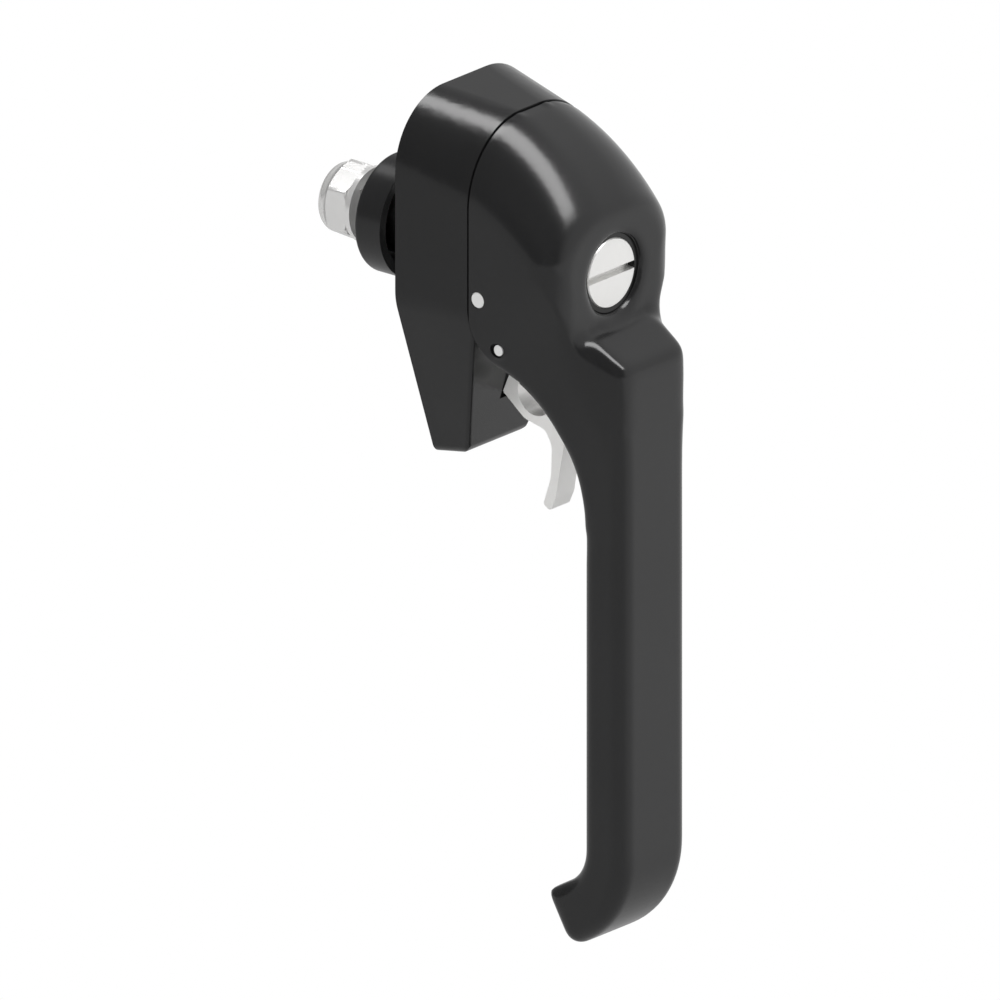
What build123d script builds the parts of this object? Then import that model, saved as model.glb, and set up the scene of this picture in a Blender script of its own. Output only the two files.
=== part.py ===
from build123d import *
import os
from math import cos, radians, sin, tan

os.makedirs("parts", exist_ok=True)

# A quarter-turn L-handle lock for a door, in millimetres.
# The origin is on the spindle's axis at the door's outer face. +Z is up, +X is to the right seen
# from outside, and "out" is the distance from the door towards the hand, along -Y.

# Base housing
base_half = 19.1
base_top = 29.4
base_flat = 5.9
base_bottom = 38.7
base_foot_half = 8.2
base_foot_round = 2.4
base_waist_round = 11.0
base_front_foot_half = 7.5
base_taper_start = 7.7
base_depth = 15.05
base_front_half = 17.25
base_front_top = 27.05
base_front_flat = 2.55
wedge_start = 13.0
wedge_foot_out = 7.5
base_edge_round = 0.9
base_wall = 2.6
cavity_depth = 12.0
hub_radius = 14.9
fixing_pitch = 36.0
fixing_hole = 4.2
fixing_depth = 6.5
fixing_boss = 9.0
gasket_thickness = 1.0
gasket_edge = 1.2
gasket_width = 2.6
slot_top = 17.2
slot_bottom = 28.4
slot_floor = 8.4

# Running and seating clearances
part_gap = 0.2
slide_gap = 0.05
seat_gap = 0.1
free_gap = 0.3
cut_over = 5.0

# Handle casting
head_drop = 14.95
head_slope = 18.3
head_front = 34.9
head_round = 5.8
ramp_top = 8.6
ramp_angle = 30.0
grip_front = 44.2
grip_half = 9.06
grip_depth = 10.1
grip_round = 3.0
ridge_round = 1.8
neck_start = 15.5
neck_radius = 33.9
neck_end = 46.0
neck_brow = 17.0
neck_brow_out = 38.6
neck_chest = 31.0
neck_chest_out = 40.9
neck_end_out = 41.5
neck_round = 2.2
hook_start = 106.0
hook_inner = 8.3
hook_outer = 20.4
hook_turn = 60.0
hook_straight = 5.4
ramp_half = 12.6
ramp_middle_half = 11.3
ramp_middle = 10.5
ridge_half = 10.2
ridge_drop = 12.5
chest_half = 9.75
chest_drop = 16.5
block_half = 9.5
block_drop = 26.0
block_end = 40.0
spine_dive = 42.0
waist_start = 15.0
waist_shoulder = 22.0
waist_shoulder_half = 16.1
waist_middle = 30.5
waist_middle_half = 12.9
waist_low = 42.0
waist_low_half = 10.6
waist_end = 58.0
waist_end_half = 9.0

# Trigger and its pivot
trigger_width = 5.0
trigger_slot = 5.8
pivot_out = 20.5
pivot_drop = 13.5
pivot_pin = 2.0
pivot_pin_half = base_front_half - 2.05
pivot_recess = 2.8
trigger_hub = 3.4
padlock_hole = 8.0
padlock_out = 18.4
padlock_drop = 25.7
trigger_edge = 0.5
heel_out = 17.4
heel_top = 15.0
heel_bottom = 19.4
nose_top_out = 13.3
nose_top = 21.2
nose_out = 10.9
nose_drop = 26.9
chin_out = 15.8
chin_drop = 30.8
throat_out = 20.6
throat_drop = 31.9
tail_rear_out = 22.2
tail_top = 34.4
tail_low_out = 20.3
tail_low = 45.7
tail_tip_out = 21.9
tail_tip = 47.0
tail_front_out = 23.0
tail_front_low = 44.7
tail_bend_out = 24.0
tail_bend = 38.7
shank_out = 25.2
shank_low = 33.0
shank_front_out = 26.1
shank_middle = 24.0
arm_out = 29.3
arm_top = 14.0
arm_bottom = 16.2

# Room for the trigger in the handle, as distance out and drop
slot_roof = 9.0
slot_step_out = 24.15
slot_step = 10.8
slot_front_out = 30.5
slot_front_low = 17.0
slot_knee_out = 32.0
slot_knee = 27.0
slot_exit_out = 33.5
slot_exit = 38.0

# Spindle, cross pin and the pieces behind the door
spindle_size = 14.0
spindle_front = 19.45
spindle_shoulder = 14.0
cross_pin = 3.0
cross_pin_out = 17.4
cross_pin_drop = 4.2
cross_pin_half = base_front_half - 0.05
square = 8.0
thread = 8.0
cup_outer = 22.0
cup_bore = 18.6
cup_front = 10.4
cup_back = 16.5
cup_round = 0.8
washer_outer = 14.0
washer_hole = 8.4
washer_face = 20.8
nut_face = 21.8
nut_hex_height = 4.9
nut_height = 7.4
nut_flats = 13.0
nut_turn = 17.0
nut_collar = 12.9
nut_collar_round = 1.6
nut_chamfer = 0.7
nylon_outer = 10.6
nylon_start = 26.9
nylon_end = 28.9
spindle_end = 29.0
thread_chamfer = 0.8

# Bush, seal and clip in the base
bush_outer = 17.6
bush_inner = 14.1
bush_back = 3.5
bush_front = 14.05
thrust_back = 14.1
thrust_front = 15.1
washer_inner = 14.2
clip_back = 1.5
clip_front = 2.5
clip_groove = 12.8
clip_outer = 17.2
clip_opening = 50.0
clip_bore = 20.0
clip_washer_back = 2.7
clip_washer_front = 3.4
clip_washer_outer = 19.0
seal_out = 9.0
seal_groove = 11.4
seal_groove_width = 1.9
seal_middle = 6.37
seal_wire = 1.32

# Lock insert, its cam and its bolt
insert_face = 33.9
insert_disc = 12.9
insert_disc_back = 30.9
insert_stem = 10.0
insert_back = 24.25
insert_slot = 1.45
insert_slot_depth = 1.6
sleeve_outer = 14.6
sleeve_face = 34.4
sleeve_back = 24.15
insert_tail = 6.0
tail_flats = 4.6
tail_back = 21.25
insert_seal_out = 28.0
insert_seal_wire = 1.3
insert_seal_middle = 4.38
insert_groove_width = 1.8
cam_front = 23.95
cam_back = 20.05
cam_middle = 21.55
lock_throw = 3.0
bolt_circle = 11.5
bolt_size = 4.0
bolt_head = 5.6
bolt_head_back = 21.55
bolt_head_front = 22.25
bolt_tip = 2.4
bolt_tip_front = 22.8
bolt_tip_round = 0.5
bolt_back = 15.75
bolt_hole = 4.1
cam_hub = 10.4
cam_hub_back = 21.15
cam_outer = 13.6
cam_first_angle = -15.0
cam_sweep = 120.0
screw_size = 3.0
screw_head = 5.5
screw_head_back = 19.85
screw_socket = 2.0
screw_socket_depth = 0.8
screw_length = 5.5
chamber_upper = 15.0
chamber_lower = 9.5
chamber_skirt = 6.8
chamber_front = 24.15
plate_back = 15.35
plate_front = 19.65
spring_bore = 6.0
spring_seat = 16.85
bolt_spring_middle = 2.6
bolt_spring_wire = 0.4
bolt_spring_back = 17.1
bolt_spring_length = 1.15
bolt_spring_turns = 2

# Trigger spring
trigger_spring_out = 27.6
trigger_spring_middle = 1.6
trigger_spring_wire = 0.45
trigger_spring_turns = 4
trigger_spring_top = 8.85
trigger_spring_length = 4.85
spring_pocket = 4.4
spring_pocket_top = 8.6

# The side plane: local x runs outwards from the door, local y runs up
side = Plane(origin=(0, 0, 0), x_dir=(0, -1, 0), z_dir=(-1, 0, 0))
# The run plane: local x is the distance below the spindle, local y runs outwards
below = Plane(origin=(0, 0, 0), x_dir=(0, 0, -1), z_dir=(-1, 0, 0))
handle_back = base_depth + part_gap
grip_back = grip_front - grip_depth
spindle_axis = Axis((0, 0, 0), (0, -1, 0))


def facing(out):
    """The plane parallel to the door at a distance from it, seen from outside."""
    return Plane.XZ.offset(out)


def shield(half, top, flat, foot, out):
    """The housing's outline: an arched top, straight sides and a foot that tapers in."""
    corner = half - flat
    shoulder = top - corner
    with BuildLine(mode=Mode.PRIVATE) as outline:
        left = CenterArc((-flat, shoulder), corner, 90, 90)
        Line(left @ 0, (flat, top))
        right = CenterArc((flat, shoulder), corner, 0, 90)
        Line(right @ 0, (half, -base_taper_start))
        Line((half, -base_taper_start), (foot, -base_bottom))
        Line((foot, -base_bottom), (-foot, -base_bottom))
        Line((-foot, -base_bottom), (-half, -base_taper_start))
        Line((-half, -base_taper_start), left @ 1)
    with BuildSketch(facing(out), mode=Mode.PRIVATE) as face:
        make_face(outline.edges())
        fillet(face.vertices().sort_by(Axis.Y)[2:4], base_waist_round)
        fillet(face.vertices().sort_by(Axis.Y)[:2], base_foot_round)
    return face.sketch


def finish(name, piece):
    """Labels a finished piece and writes its file."""
    piece.part.label = name
    export_step(piece.part, f"parts/{name}.step")


# Base housing
with BuildPart() as base_housing:
    loft(
        [
            shield(base_half, base_top, base_flat, base_foot_half, 0).face(),
            shield(
                base_front_half, base_front_top, base_front_flat, base_front_foot_half, base_depth
            ).face(),
        ],
        ruled=True,
    )
    # The lower front slopes back so that fingers and the trigger have room.
    with BuildSketch(side):
        with BuildLine():
            Polyline(
                (base_depth, -wedge_start),
                (wedge_foot_out, -base_bottom),
                (0, -base_bottom),
                (0, -base_bottom - cut_over),
                (base_depth + cut_over, -base_bottom - cut_over),
                (base_depth + cut_over, -wedge_start),
                close=True,
            )
        make_face()
    extrude(amount=base_half + cut_over, both=True, mode=Mode.SUBTRACT)
    slope_edges = base_housing.edges().filter_by(
        lambda e: e.center().Z < -wedge_start - 1 and -e.center().Y > wedge_foot_out - 1
    )
    fillet(slope_edges, base_edge_round)
    # The hollow in the back leaves a hub round the spindle and two bosses for the fixing screws.
    with BuildSketch(facing(0)):
        offset(
            shield(base_front_half, base_front_top, base_front_flat, base_front_foot_half, 0),
            amount=-base_wall,
        )
        Circle(hub_radius, mode=Mode.SUBTRACT)
        with GridLocations(0, fixing_pitch, 1, 2):
            Circle(fixing_boss / 2, mode=Mode.SUBTRACT)
    hollow = extrude(amount=cavity_depth, mode=Mode.PRIVATE)
    with BuildSketch(side):
        with BuildLine():
            Polyline(
                (-1, base_top),
                (cavity_depth + 1, base_top),
                (cavity_depth + 1, base_wall - wedge_start),
                (wedge_foot_out - base_wall, -base_bottom),
                (-1, -base_bottom),
                close=True,
            )
        make_face()
    room = extrude(amount=base_half, both=True, mode=Mode.PRIVATE)
    add(hollow & room, mode=Mode.SUBTRACT)
    # Bore for the bush, and the wider bore behind it for the clip
    with BuildSketch(facing(0)):
        Circle(bush_outer / 2)
    extrude(amount=base_depth + cut_over, mode=Mode.SUBTRACT)
    with BuildSketch(facing(0)):
        Circle(clip_bore / 2)
    extrude(amount=bush_back, mode=Mode.SUBTRACT)
    with BuildSketch(facing(0)):
        with GridLocations(0, fixing_pitch, 1, 2):
            Circle(fixing_hole / 2)
    extrude(amount=fixing_depth, mode=Mode.SUBTRACT)
    # Two pockets take the lock bolt, one with the handle closed and one with it open.
    with BuildSketch(facing(base_depth)):
        with Locations((0, bolt_circle), (-bolt_circle, 0)):
            Circle(bolt_size / 2 + seat_gap)
    extrude(amount=-lock_throw - free_gap, mode=Mode.SUBTRACT)
    # The slot for the trigger's nose goes into the sloped wall.
    with BuildSketch(facing(slot_floor)):
        with Locations((0, -(slot_top + slot_bottom) / 2)):
            Rectangle(trigger_slot, slot_bottom - slot_top)
    extrude(amount=base_depth, mode=Mode.SUBTRACT)
    # A shallow run for the nose leads from the slot to the right as the handle opens.
    with BuildSketch(below):
        with BuildLine():
            Polyline(
                (heel_bottom - 2 * part_gap, base_depth + 1),
                (heel_bottom - 2 * part_gap, base_depth - free_gap),
                (nose_top - free_gap, nose_top_out - free_gap),
                (nose_drop + 2 * part_gap, nose_out - 2.5 * part_gap),
                (slot_bottom + part_gap, nose_out + 3 * part_gap),
                (chin_drop + 11 * part_gap, base_depth + 1),
                close=True,
            )
        make_face()
    revolve(axis=spindle_axis, revolution_arc=85, mode=Mode.SUBTRACT)
    # The rebate for the gasket
    with BuildSketch(facing(0)):
        offset(shield(base_half, base_top, base_flat, base_foot_half, 0), amount=-gasket_edge)
        offset(
            shield(base_half, base_top, base_flat, base_foot_half, 0),
            amount=-gasket_edge - gasket_width,
            mode=Mode.SUBTRACT,
        )
    extrude(amount=gasket_thickness, mode=Mode.SUBTRACT)
finish("base_housing", base_housing)

# Gasket between the base and the door
with BuildPart() as base_gasket:
    with BuildSketch(facing(0)):
        offset(shield(base_half, base_top, base_flat, base_foot_half, 0), amount=-gasket_edge)
        offset(
            shield(base_half, base_top, base_flat, base_foot_half, 0),
            amount=-gasket_edge - gasket_width,
            mode=Mode.SUBTRACT,
        )
    extrude(amount=gasket_thickness)
finish("base_gasket", base_gasket)

# Bush that the spindle turns in
with BuildPart() as spindle_bush:
    with BuildSketch(facing(bush_back)):
        Circle(bush_outer / 2)
        Circle(bush_inner / 2, mode=Mode.SUBTRACT)
    extrude(amount=bush_front - bush_back)
finish("spindle_bush", spindle_bush)

# Thrust washer between the base and the handle
with BuildPart() as thrust_washer:
    with BuildSketch(facing(thrust_back)):
        Circle(bush_outer / 2)
        Circle(washer_inner / 2, mode=Mode.SUBTRACT)
    extrude(amount=thrust_front - thrust_back)
finish("thrust_washer", thrust_washer)

# Washer that the retaining clip pulls against
with BuildPart() as clip_washer:
    with BuildSketch(facing(clip_washer_back)):
        Circle(clip_washer_outer / 2)
        Circle(washer_inner / 2, mode=Mode.SUBTRACT)
    extrude(amount=clip_washer_front - clip_washer_back)
finish("clip_washer", clip_washer)

# The thumb block, the grip and the hook share one side outline.
ridge_z = -ramp_top - (grip_front - head_front) * tan(radians(ramp_angle))
ramp_root_z = -ramp_top + (head_front - grip_back) * tan(radians(ramp_angle))
hook_out = grip_back - hook_inner
turn = radians(hook_turn)
end_inner = (
    hook_out + hook_inner * cos(turn) - hook_straight * sin(turn),
    -hook_start - hook_inner * sin(turn) - hook_straight * cos(turn),
)
hook_heel = grip_front - hook_outer
hook_depth = hook_outer - hook_inner + (hook_heel - hook_out) * cos(turn)
end_outer = (
    end_inner[0] + hook_depth * cos(turn),
    end_inner[1] - hook_depth * sin(turn),
)
with BuildPart() as grip:
    with BuildSketch(side):
        with BuildLine():
            Polyline(
                (grip_back, -hook_start),
                (grip_back, ramp_root_z),
                (grip_front, ridge_z),
                (grip_front, -hook_start),
            )
            outer = CenterArc((hook_heel, -hook_start), hook_outer, 0, -hook_turn)
            inner = CenterArc((hook_out, -hook_start), hook_inner, 0, -hook_turn)
            Polyline(outer @ 1, end_outer, end_inner, inner @ 1)
        make_face()
    extrude(amount=ramp_half + 1, both=True)
    with BuildSketch(facing(0)) as grip_outline:
        with BuildLine():
            flank = Spline(
                (ramp_half, -ramp_top),
                (ramp_middle_half, -ramp_middle),
                (ridge_half, -ridge_drop),
                (chest_half, -chest_drop),
                (block_half, -block_drop),
                (grip_half, -block_end),
                tangents=[(-3, -4), (0, -1)],
            )
            Polyline(
                flank @ 1,
                (grip_half, -hook_start * 2),
                (0, -hook_start * 2),
                (0, 0),
                (ramp_half, 0),
                flank @ 0,
            )
        make_face()
        mirror(about=Plane.YZ)
    extrude(amount=grip_front + cut_over, mode=Mode.INTERSECT)
    cross_edges = grip.edges().filter_by(Axis.X)
    end_edges = cross_edges.sort_by(Axis.Z)[:2]
    fillet(end_edges, grip_round)
    side_edges = grip.edges().filter_by(
        lambda e: abs(e.center().X) > grip_half - 0.1
        and e.center().Z < ridge_z
        and (-e.center().Y > grip_back - grip_round or e.center().Z < -hook_start)
    )
    fillet(side_edges, grip_round)
    ridge_edge = grip.edges().filter_by(
        lambda e: abs(e.center().X) < 1 and e.length > grip_half and abs(e.center().Z - ridge_z) < 1
    )
    fillet(ridge_edge, ridge_round)

# Handle casting
dive = radians(spine_dive)
spine = Plane(origin=(0, 0, 0), x_dir=(1, 0, 0), z_dir=(0, -cos(dive), sin(dive)))
slope = radians(head_slope)
with BuildPart() as handle_casting:
    # The head is its arched outline carried down along a domed line, with a rounded front.
    corner = base_front_half - base_front_flat
    shoulder = base_front_top - corner
    with BuildSketch(facing(handle_back)):
        with BuildLine():
            left = CenterArc((-base_front_flat, shoulder), corner, 90, 90)
            Line(left @ 0, (base_front_flat, base_front_top))
            right = CenterArc((base_front_flat, shoulder), corner, 0, 90)
            Line(right @ 0, (base_front_half, -neck_end))
            Line((base_front_half, -neck_end), (-base_front_half, -neck_end))
            Line((-base_front_half, -neck_end), left @ 1)
        make_face()
    with BuildLine(side) as dome:
        TangentArc(
            (handle_back, base_front_top),
            (head_front, base_front_top - head_drop),
            tangent=(cos(slope), -sin(slope)),
        )
    sweep(path=dome.line, normal=(0, -1, 0))
    front_face = handle_casting.faces().sort_by(Axis.Y)[0]
    fillet(front_face.edges().sort_by(Axis.Z)[1:], head_round)
    # The neck stands out from the head below the ramp.
    with BuildSketch(side):
        with BuildLine():
            Polyline(
                (grip_back, -ramp_top),
                (head_front, -ramp_top),
                (neck_brow_out, -neck_brow),
                (neck_chest_out, -neck_chest),
                (neck_end_out, -neck_end),
                (grip_back, -neck_end),
                close=True,
            )
        make_face()
    extrude(amount=base_front_half, both=True)
    # The back rises in one arc from the parting plane to the grip.
    with BuildSketch(side):
        with BuildLine():
            back = RadiusArc((handle_back, -neck_start), (grip_back, -neck_end), neck_radius)
            Polyline(
                back @ 1,
                (grip_front + cut_over, -neck_end),
                (grip_front + cut_over, -hook_start),
                (handle_back - cut_over, -hook_start),
                (handle_back - cut_over, -neck_start),
                back @ 0,
            )
        make_face()
    extrude(amount=base_half, both=True, mode=Mode.SUBTRACT)
    # The sides draw in along the neck.
    with BuildSketch(spine):
        with BuildLine():
            flank = Spline(
                (base_front_half + part_gap, -waist_start),
                (waist_shoulder_half, -waist_shoulder),
                (waist_middle_half, -waist_middle),
                (waist_low_half, -waist_low),
                (waist_end_half, -waist_end),
                tangents=[(0, -1), (0, -1)],
            )
            Polyline(
                flank @ 1,
                (waist_end_half, -hook_start),
                (0, -hook_start),
                (0, hook_start),
                (base_front_half + part_gap, hook_start),
                flank @ 0,
            )
        make_face()
        mirror(about=Plane.YZ)
    extrude(amount=hook_start, both=True, mode=Mode.INTERSECT)
    back_edges = handle_casting.edges().filter_by(
        lambda e: e.length > neck_start
        and abs(e.center().X) > waist_end_half
        and e.center().Z < -neck_start
        and -e.center().Y < grip_back
    )
    fillet(back_edges, neck_round)
    add(grip.part)
    # The chamber behind the lock insert, filled at the back by the drive plate
    with BuildSketch(facing(handle_back)):
        Circle(chamber_upper)
        with Locations((0, -chamber_skirt - chamber_upper)):
            Rectangle(chamber_upper * 2, chamber_upper * 2, mode=Mode.SUBTRACT)
        Circle(chamber_lower)
    extrude(amount=chamber_front - handle_back, mode=Mode.SUBTRACT)
    with BuildSketch(facing(chamber_front)):
        Circle(sleeve_outer / 2)
    extrude(amount=head_front, mode=Mode.SUBTRACT)
    # Slot for the trigger, open to the back
    with BuildSketch(side):
        with BuildLine():
            Polyline(
                (handle_back - 1, -slot_roof),
                (slot_step_out, -slot_roof),
                (slot_step_out, -slot_step),
                (slot_front_out, -slot_step),
                (slot_front_out, -slot_front_low),
                (slot_knee_out, -slot_knee),
                (slot_exit_out, -slot_exit),
                (slot_step_out, -slot_exit - cut_over),
                (handle_back - 1, -slot_exit),
                close=True,
            )
        make_face()
    extrude(amount=trigger_slot / 2, both=True, mode=Mode.SUBTRACT)
    with BuildSketch(Plane.XY.offset(-slot_step)):
        with Locations((0, -trigger_spring_out)):
            Circle(spring_pocket / 2)
    extrude(amount=slot_step - spring_pocket_top, mode=Mode.SUBTRACT)
    # Holes for the cross pin and the trigger's pivot pin
    with BuildSketch(side):
        with Locations((cross_pin_out, -cross_pin_drop)):
            Circle(cross_pin / 2)
    extrude(amount=base_half, both=True, mode=Mode.SUBTRACT)
    with BuildSketch(side):
        with Locations((pivot_out, -pivot_drop)):
            Circle(pivot_pin / 2)
    extrude(amount=base_half, both=True, mode=Mode.SUBTRACT)
    with BuildSketch(side.offset(pivot_pin_half)):
        with Locations((pivot_out, -pivot_drop)):
            Circle(pivot_recess / 2)
    extrude(amount=cut_over, mode=Mode.SUBTRACT)
    with BuildSketch(side.offset(-pivot_pin_half)):
        with Locations((pivot_out, -pivot_drop)):
            Circle(pivot_recess / 2)
    extrude(amount=-cut_over, mode=Mode.SUBTRACT)
finish("handle_casting", handle_casting)

# Drive plate that fills the back of the head and carries the spindle
with BuildPart() as drive_plate:
    with BuildSketch(facing(plate_back)):
        Circle(chamber_upper - seat_gap)
        with Locations((0, -chamber_skirt - chamber_upper + seat_gap)):
            Rectangle(chamber_upper * 2, chamber_upper * 2, mode=Mode.SUBTRACT)
        Circle(chamber_lower - seat_gap)
        Circle(spindle_size / 2, mode=Mode.SUBTRACT)
        with Locations((0, bolt_circle)):
            Circle(bolt_hole / 2, mode=Mode.SUBTRACT)
    extrude(amount=plate_front - plate_back)
    with BuildSketch(facing(spring_seat)):
        with Locations((0, bolt_circle)):
            Circle(spring_bore / 2)
    extrude(amount=cut_over, mode=Mode.SUBTRACT)
    with BuildSketch(side):
        with Locations((cross_pin_out, -cross_pin_drop)):
            Circle(cross_pin / 2)
    extrude(amount=base_half, both=True, mode=Mode.SUBTRACT)
finish("drive_plate", drive_plate)

# Spindle with its square and its threaded end
with BuildPart() as spindle:
    with BuildSketch(facing(spindle_front)):
        Circle(spindle_size / 2)
    extrude(amount=-spindle_front - spindle_shoulder)
    with BuildSketch(facing(-spindle_shoulder)):
        Rectangle(square, square)
    extrude(amount=spindle_shoulder - washer_face)
    with BuildSketch(facing(-washer_face)):
        Circle(thread / 2)
    extrude(amount=washer_face - spindle_end)
    tail_edge = spindle.edges().filter_by(GeomType.CIRCLE).sort_by(Axis.Y)[-1]
    chamfer(tail_edge, thread_chamfer)
    with BuildSketch(facing(clip_back)):
        Circle(spindle_size / 2 + 1)
        Circle(clip_groove / 2, mode=Mode.SUBTRACT)
    extrude(amount=clip_front - clip_back, mode=Mode.SUBTRACT)
    with BuildSketch(facing(seal_out - seal_groove_width / 2)):
        Circle(spindle_size / 2 + 1)
        Circle(seal_groove / 2, mode=Mode.SUBTRACT)
    extrude(amount=seal_groove_width, mode=Mode.SUBTRACT)
    with BuildSketch(side):
        with Locations((cross_pin_out, -cross_pin_drop)):
            Circle(cross_pin / 2)
    extrude(amount=base_half, both=True, mode=Mode.SUBTRACT)
finish("spindle", spindle)

# Seal ring in the spindle's groove
with BuildPart() as spindle_seal:
    with BuildSketch(side):
        with Locations((seal_out, seal_middle)):
            Circle(seal_wire / 2)
    revolve(axis=spindle_axis)
finish("spindle_seal", spindle_seal)

# Cross pin through the head, the drive plate and the spindle
with BuildPart() as spindle_cross_pin:
    with BuildSketch(side):
        with Locations((cross_pin_out, -cross_pin_drop)):
            Circle(cross_pin / 2)
    extrude(amount=cross_pin_half, both=True)
    fillet(spindle_cross_pin.edges().filter_by(GeomType.CIRCLE), part_gap)
finish("spindle_cross_pin", spindle_cross_pin)

# Pivot pin of the trigger
with BuildPart() as trigger_pivot_pin:
    with BuildSketch(side):
        with Locations((pivot_out, -pivot_drop)):
            Circle(pivot_pin / 2)
    extrude(amount=pivot_pin_half, both=True)
finish("trigger_pivot_pin", trigger_pivot_pin)

# Retaining clip, a split ring in the spindle's rear groove
with BuildPart() as retaining_clip:
    with BuildSketch(facing(clip_back)):
        Circle(clip_outer / 2)
        Circle(clip_groove / 2, mode=Mode.SUBTRACT)
        with BuildLine():
            reach = clip_outer
            opening = radians(clip_opening / 2)
            Polyline(
                (0, 0),
                (reach * sin(opening), reach * cos(opening)),
                (-reach * sin(opening), reach * cos(opening)),
                close=True,
            )
        make_face(mode=Mode.SUBTRACT)
    extrude(amount=clip_front - clip_back)
finish("retaining_clip", retaining_clip)

# Guide cup on the square behind the door
with BuildPart() as guide_cup:
    with BuildSketch(facing(-cup_back)):
        Circle(cup_outer / 2)
    extrude(amount=cup_back - cup_front)
    rear_edge = guide_cup.edges().filter_by(GeomType.CIRCLE).sort_by(Axis.Y)[-1]
    fillet(rear_edge, cup_round)
    with BuildSketch(facing(-spindle_shoulder)):
        Circle(cup_bore / 2)
    extrude(amount=cup_back, mode=Mode.SUBTRACT)
    with BuildSketch(facing(-cup_back)):
        Rectangle(square + seat_gap, square + seat_gap)
    extrude(amount=cup_back, mode=Mode.SUBTRACT)
finish("guide_cup", guide_cup)

# Washer under the lock nut
with BuildPart() as cam_washer:
    with BuildSketch(facing(-washer_face)):
        Circle(washer_outer / 2)
        Circle(washer_hole / 2, mode=Mode.SUBTRACT)
    extrude(amount=washer_face - nut_face)
finish("cam_washer", cam_washer)

# Lock nut: a hexagon with rounded corners at its face and a round collar for the nylon ring
nut_corner = nut_flats / 2 / cos(radians(30))
with BuildPart() as lock_nut:
    with BuildSketch(facing(-nut_face)):
        RegularPolygon(nut_flats / 2, 6, major_radius=False, rotation=nut_turn)
    extrude(amount=-nut_hex_height)
    with BuildSketch(side):
        with BuildLine():
            Polyline(
                (-nut_face, 0),
                (-nut_face, nut_flats / 2),
                (-nut_face - nut_chamfer, nut_corner + 0.1),
                (-nut_face - nut_hex_height + nut_chamfer, nut_corner + 0.1),
                (-nut_face - nut_hex_height, nut_flats / 2),
                (-nut_face - nut_hex_height, 0),
                close=True,
            )
        make_face()
    revolve(axis=spindle_axis, mode=Mode.INTERSECT)
    with BuildSketch(facing(-nut_face - nut_hex_height)):
        Circle(nut_collar / 2)
    extrude(amount=nut_hex_height - nut_height)
    collar_edge = lock_nut.edges().filter_by(GeomType.CIRCLE).sort_by(Axis.Y)[-1]
    fillet(collar_edge, nut_collar_round)
    with BuildSketch(facing(-nut_face)):
        Circle(thread / 2)
    extrude(amount=-nut_height, mode=Mode.SUBTRACT)
    with BuildSketch(facing(-nylon_start)):
        Circle(nylon_outer / 2)
    extrude(amount=nylon_start - nylon_end, mode=Mode.SUBTRACT)
finish("lock_nut", lock_nut)

# Nylon ring in the lock nut
with BuildPart() as nut_insert:
    with BuildSketch(facing(-nylon_start)):
        Circle(nylon_outer / 2)
        Circle(thread / 2, mode=Mode.SUBTRACT)
    extrude(amount=nylon_start - nylon_end)
finish("nut_insert", nut_insert)

# Sleeve that the lock insert turns in
with BuildPart() as insert_sleeve:
    with BuildSketch(facing(sleeve_back)):
        Circle(sleeve_outer / 2)
        Circle(insert_stem / 2 + slide_gap, mode=Mode.SUBTRACT)
    extrude(amount=sleeve_face - sleeve_back)
    with BuildSketch(facing(insert_disc_back - slide_gap)):
        Circle(insert_disc / 2 + slide_gap)
    extrude(amount=insert_disc, mode=Mode.SUBTRACT)
finish("insert_sleeve", insert_sleeve)

# Lock insert with its screwdriver slot
with BuildPart() as lock_insert:
    with BuildSketch(facing(insert_disc_back)):
        Circle(insert_disc / 2)
    extrude(amount=insert_face - insert_disc_back)
    chamfer(lock_insert.edges().filter_by(GeomType.CIRCLE).sort_by(Axis.Y)[0], part_gap)
    with BuildSketch(facing(insert_disc_back)):
        Circle(insert_stem / 2)
    extrude(amount=insert_back - insert_disc_back)
    with BuildSketch(facing(insert_back)):
        Circle(insert_tail / 2)
        Rectangle(insert_tail, tail_flats, mode=Mode.INTERSECT)
    extrude(amount=tail_back - insert_back)
    with BuildSketch(facing(insert_face)):
        Rectangle(insert_disc + 1, insert_slot)
    extrude(amount=-insert_slot_depth, mode=Mode.SUBTRACT)
    with BuildSketch(facing(insert_seal_out - insert_groove_width / 2)):
        Circle(insert_stem / 2 + 1)
        Circle(insert_seal_middle - insert_seal_wire / 2, mode=Mode.SUBTRACT)
    extrude(amount=insert_groove_width, mode=Mode.SUBTRACT)
    with BuildSketch(facing(tail_back)):
        Circle(screw_size / 2)
    extrude(amount=screw_length, mode=Mode.SUBTRACT)
finish("lock_insert", lock_insert)

# Seal ring on the insert
with BuildPart() as insert_seal:
    with BuildSketch(side):
        with Locations((insert_seal_out, insert_seal_middle)):
            Circle(insert_seal_wire / 2)
    revolve(axis=spindle_axis)
finish("insert_seal", insert_seal)

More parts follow.
